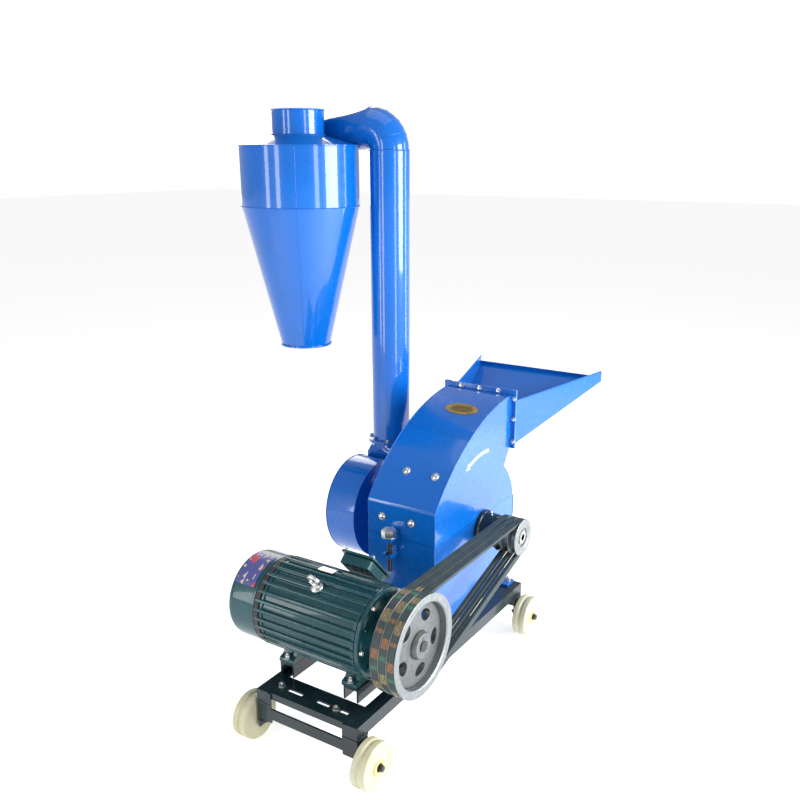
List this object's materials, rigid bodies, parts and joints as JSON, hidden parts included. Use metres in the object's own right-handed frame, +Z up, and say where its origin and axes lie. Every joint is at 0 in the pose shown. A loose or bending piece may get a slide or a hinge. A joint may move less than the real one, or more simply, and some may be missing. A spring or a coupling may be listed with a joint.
{
  "type": "hammer mill",
  "caption": "Wheeled hammer mill driven by an electric motor through V-belts, with a tray hopper, a blower, a tall delivery pipe and a cyclone beside it.",
  "frame": {"origin": "middle of the footprint's bounding box, on the ground under the wheels", "axes": "+X from the motor to the feed hopper, +Y from the belts to the blower, +Z up"},
  "size_m": [1.481, 1.071, 1.7794],
  "materials": {
    "blue_paint": "gloss blue enamel",
    "motor_paint": "gloss dark green enamel over castings",
    "frame_paint": "black paint",
    "wheel_nylon": "moulded ivory nylon",
    "zinc_steel": "zinc-plated",
    "cast_pulley": "machined and bare",
    "belt_rubber": "matt",
    "bright_steel": "turned and bare",
    "fan_plastic": "moulded"
  },
  "bodies": {
    "machine": {"mill_lower_housing": "blue_paint", "fan_casing": "blue_paint", "suction_duct": "blue_paint", "delivery_pipe": "blue_paint", "inlet_duct": "blue_paint", "cyclone_body": "blue_paint", "cyclone_lid": "blue_paint", "cyclone_exhaust": "blue_paint", "cyclone_cone": "blue_paint", "motor_frame": "motor_paint", "motor_end_shield": "motor_paint", "motor_fan_cowl": "motor_paint", "terminal_box": "motor_paint", "terminal_lid": "motor_paint", "frame_side_near": "frame_paint", "frame_side_far": "frame_paint", "front_cross_plate": "frame_paint", "rear_cross_plate": "frame_paint", "middle_cross_beam": "frame_paint", "front_lower_bar": "frame_paint", "rear_lower_bar": "frame_paint", "slide_rail_near": "frame_paint", "slide_rail_far": "frame_paint", "bearing_housing_near": "frame_paint", "bearing_housing_far": "frame_paint", "wheel_bolt_front_near": "zinc_steel", "wheel_bolt_front_far": "zinc_steel", "wheel_bolt_rear_near": "zinc_steel", "wheel_bolt_rear_far": "zinc_steel", "cover_hinge_pin": "zinc_steel", "v_belt_1": "belt_rubber", "v_belt_2": "belt_rubber", "v_belt_3": "belt_rubber", "bearing_near": "bright_steel", "bearing_far": "bright_steel", "screen": "bright_steel"},
    "cover": {"mill_cover": "blue_paint", "feed_hopper": "blue_paint"},
    "gate": {"feed_gate": "blue_paint"},
    "clamp": {"clamp_screw": "zinc_steel"},
    "motor_rotor": {"motor_shaft": "bright_steel", "motor_pulley": "cast_pulley", "motor_cooling_fan": "fan_plastic"},
    "mill_rotor": {"rotor_shaft": "bright_steel", "rotor_pulley": "cast_pulley", "rotor_disc_near": "bright_steel", "rotor_disc_far": "bright_steel", "hammer_pin_1": "bright_steel", "hammer_pin_2": "bright_steel", "hammer_pin_3": "bright_steel", "hammer_pin_4": "bright_steel", "fan_impeller": "bright_steel"},
    "hammers_1": {"hammer_row_1": "bright_steel"},
    "hammers_2": {"hammer_row_2": "bright_steel"},
    "hammers_3": {"hammer_row_3": "bright_steel"},
    "hammers_4": {"hammer_row_4": "bright_steel"},
    "wheel_front_near": {"wheel_front_near": "wheel_nylon"},
    "wheel_front_far": {"wheel_front_far": "wheel_nylon"},
    "wheel_rear_near": {"wheel_rear_near": "wheel_nylon"},
    "wheel_rear_far": {"wheel_rear_far": "wheel_nylon"}
  },
  "joints": [
    {"name": "wheel_front_near_roll", "type": "hinge", "parent": "machine", "child": "wheel_front_near", "pos_m": [-0.6705, -0.484, 0.07], "axis": [0, 1, 0], "continuous": true},
    {"name": "wheel_front_far_roll", "type": "hinge", "parent": "machine", "child": "wheel_front_far", "pos_m": [-0.6705, -0.063, 0.07], "axis": [0, 1, 0], "continuous": true},
    {"name": "wheel_rear_near_roll", "type": "hinge", "parent": "machine", "child": "wheel_rear_near", "pos_m": [0.2905, -0.484, 0.07], "axis": [0, 1, 0], "continuous": true},
    {"name": "wheel_rear_far_roll", "type": "hinge", "parent": "machine", "child": "wheel_rear_far", "pos_m": [0.2905, -0.063, 0.07], "axis": [0, 1, 0], "continuous": true},
    {"name": "motor_spin", "type": "hinge", "parent": "machine", "child": "motor_rotor", "pos_m": [-0.4855, -0.2735, 0.354], "axis": [0, 1, 0], "continuous": true},
    {"name": "mill_rotor_spin", "type": "hinge", "parent": "machine", "child": "mill_rotor", "pos_m": [0.1215, -0.2735, 0.448], "axis": [0, 1, 0], "continuous": true},
    {"name": "hammer_swing_1", "type": "hinge", "parent": "mill_rotor", "child": "hammers_1", "pos_m": [0.2465, -0.2735, 0.448], "axis": [0, 1, 0], "continuous": true},
    {"name": "hammer_swing_2", "type": "hinge", "parent": "mill_rotor", "child": "hammers_2", "pos_m": [0.1215, -0.2735, 0.573], "axis": [0, 1, 0], "continuous": true},
    {"name": "hammer_swing_3", "type": "hinge", "parent": "mill_rotor", "child": "hammers_3", "pos_m": [-0.0035, -0.2735, 0.448], "axis": [0, 1, 0], "continuous": true},
    {"name": "hammer_swing_4", "type": "hinge", "parent": "mill_rotor", "child": "hammers_4", "pos_m": [0.1215, -0.2735, 0.323], "axis": [0, 1, 0], "continuous": true},
    {"name": "cover_hinge", "type": "hinge", "parent": "machine", "child": "cover", "pos_m": [0.3625, -0.2635, 0.494], "axis": [0, 1, 0], "range_deg": [0, 70]},
    {"name": "clamp_turn", "type": "hinge", "parent": "cover", "child": "clamp", "pos_m": [-0.2135, -0.2375, 0.494], "axis": [0, 0, 1], "continuous": true},
    {"name": "gate_slide", "type": "slide", "parent": "cover", "child": "gate", "axis": [0, 0, 1], "range_m": [0, 0.15]}
  ],
  "couplings": [
    {"joint": "motor_spin", "follows": "mill_rotor_spin", "ratio": 0.3862}
  ]
}
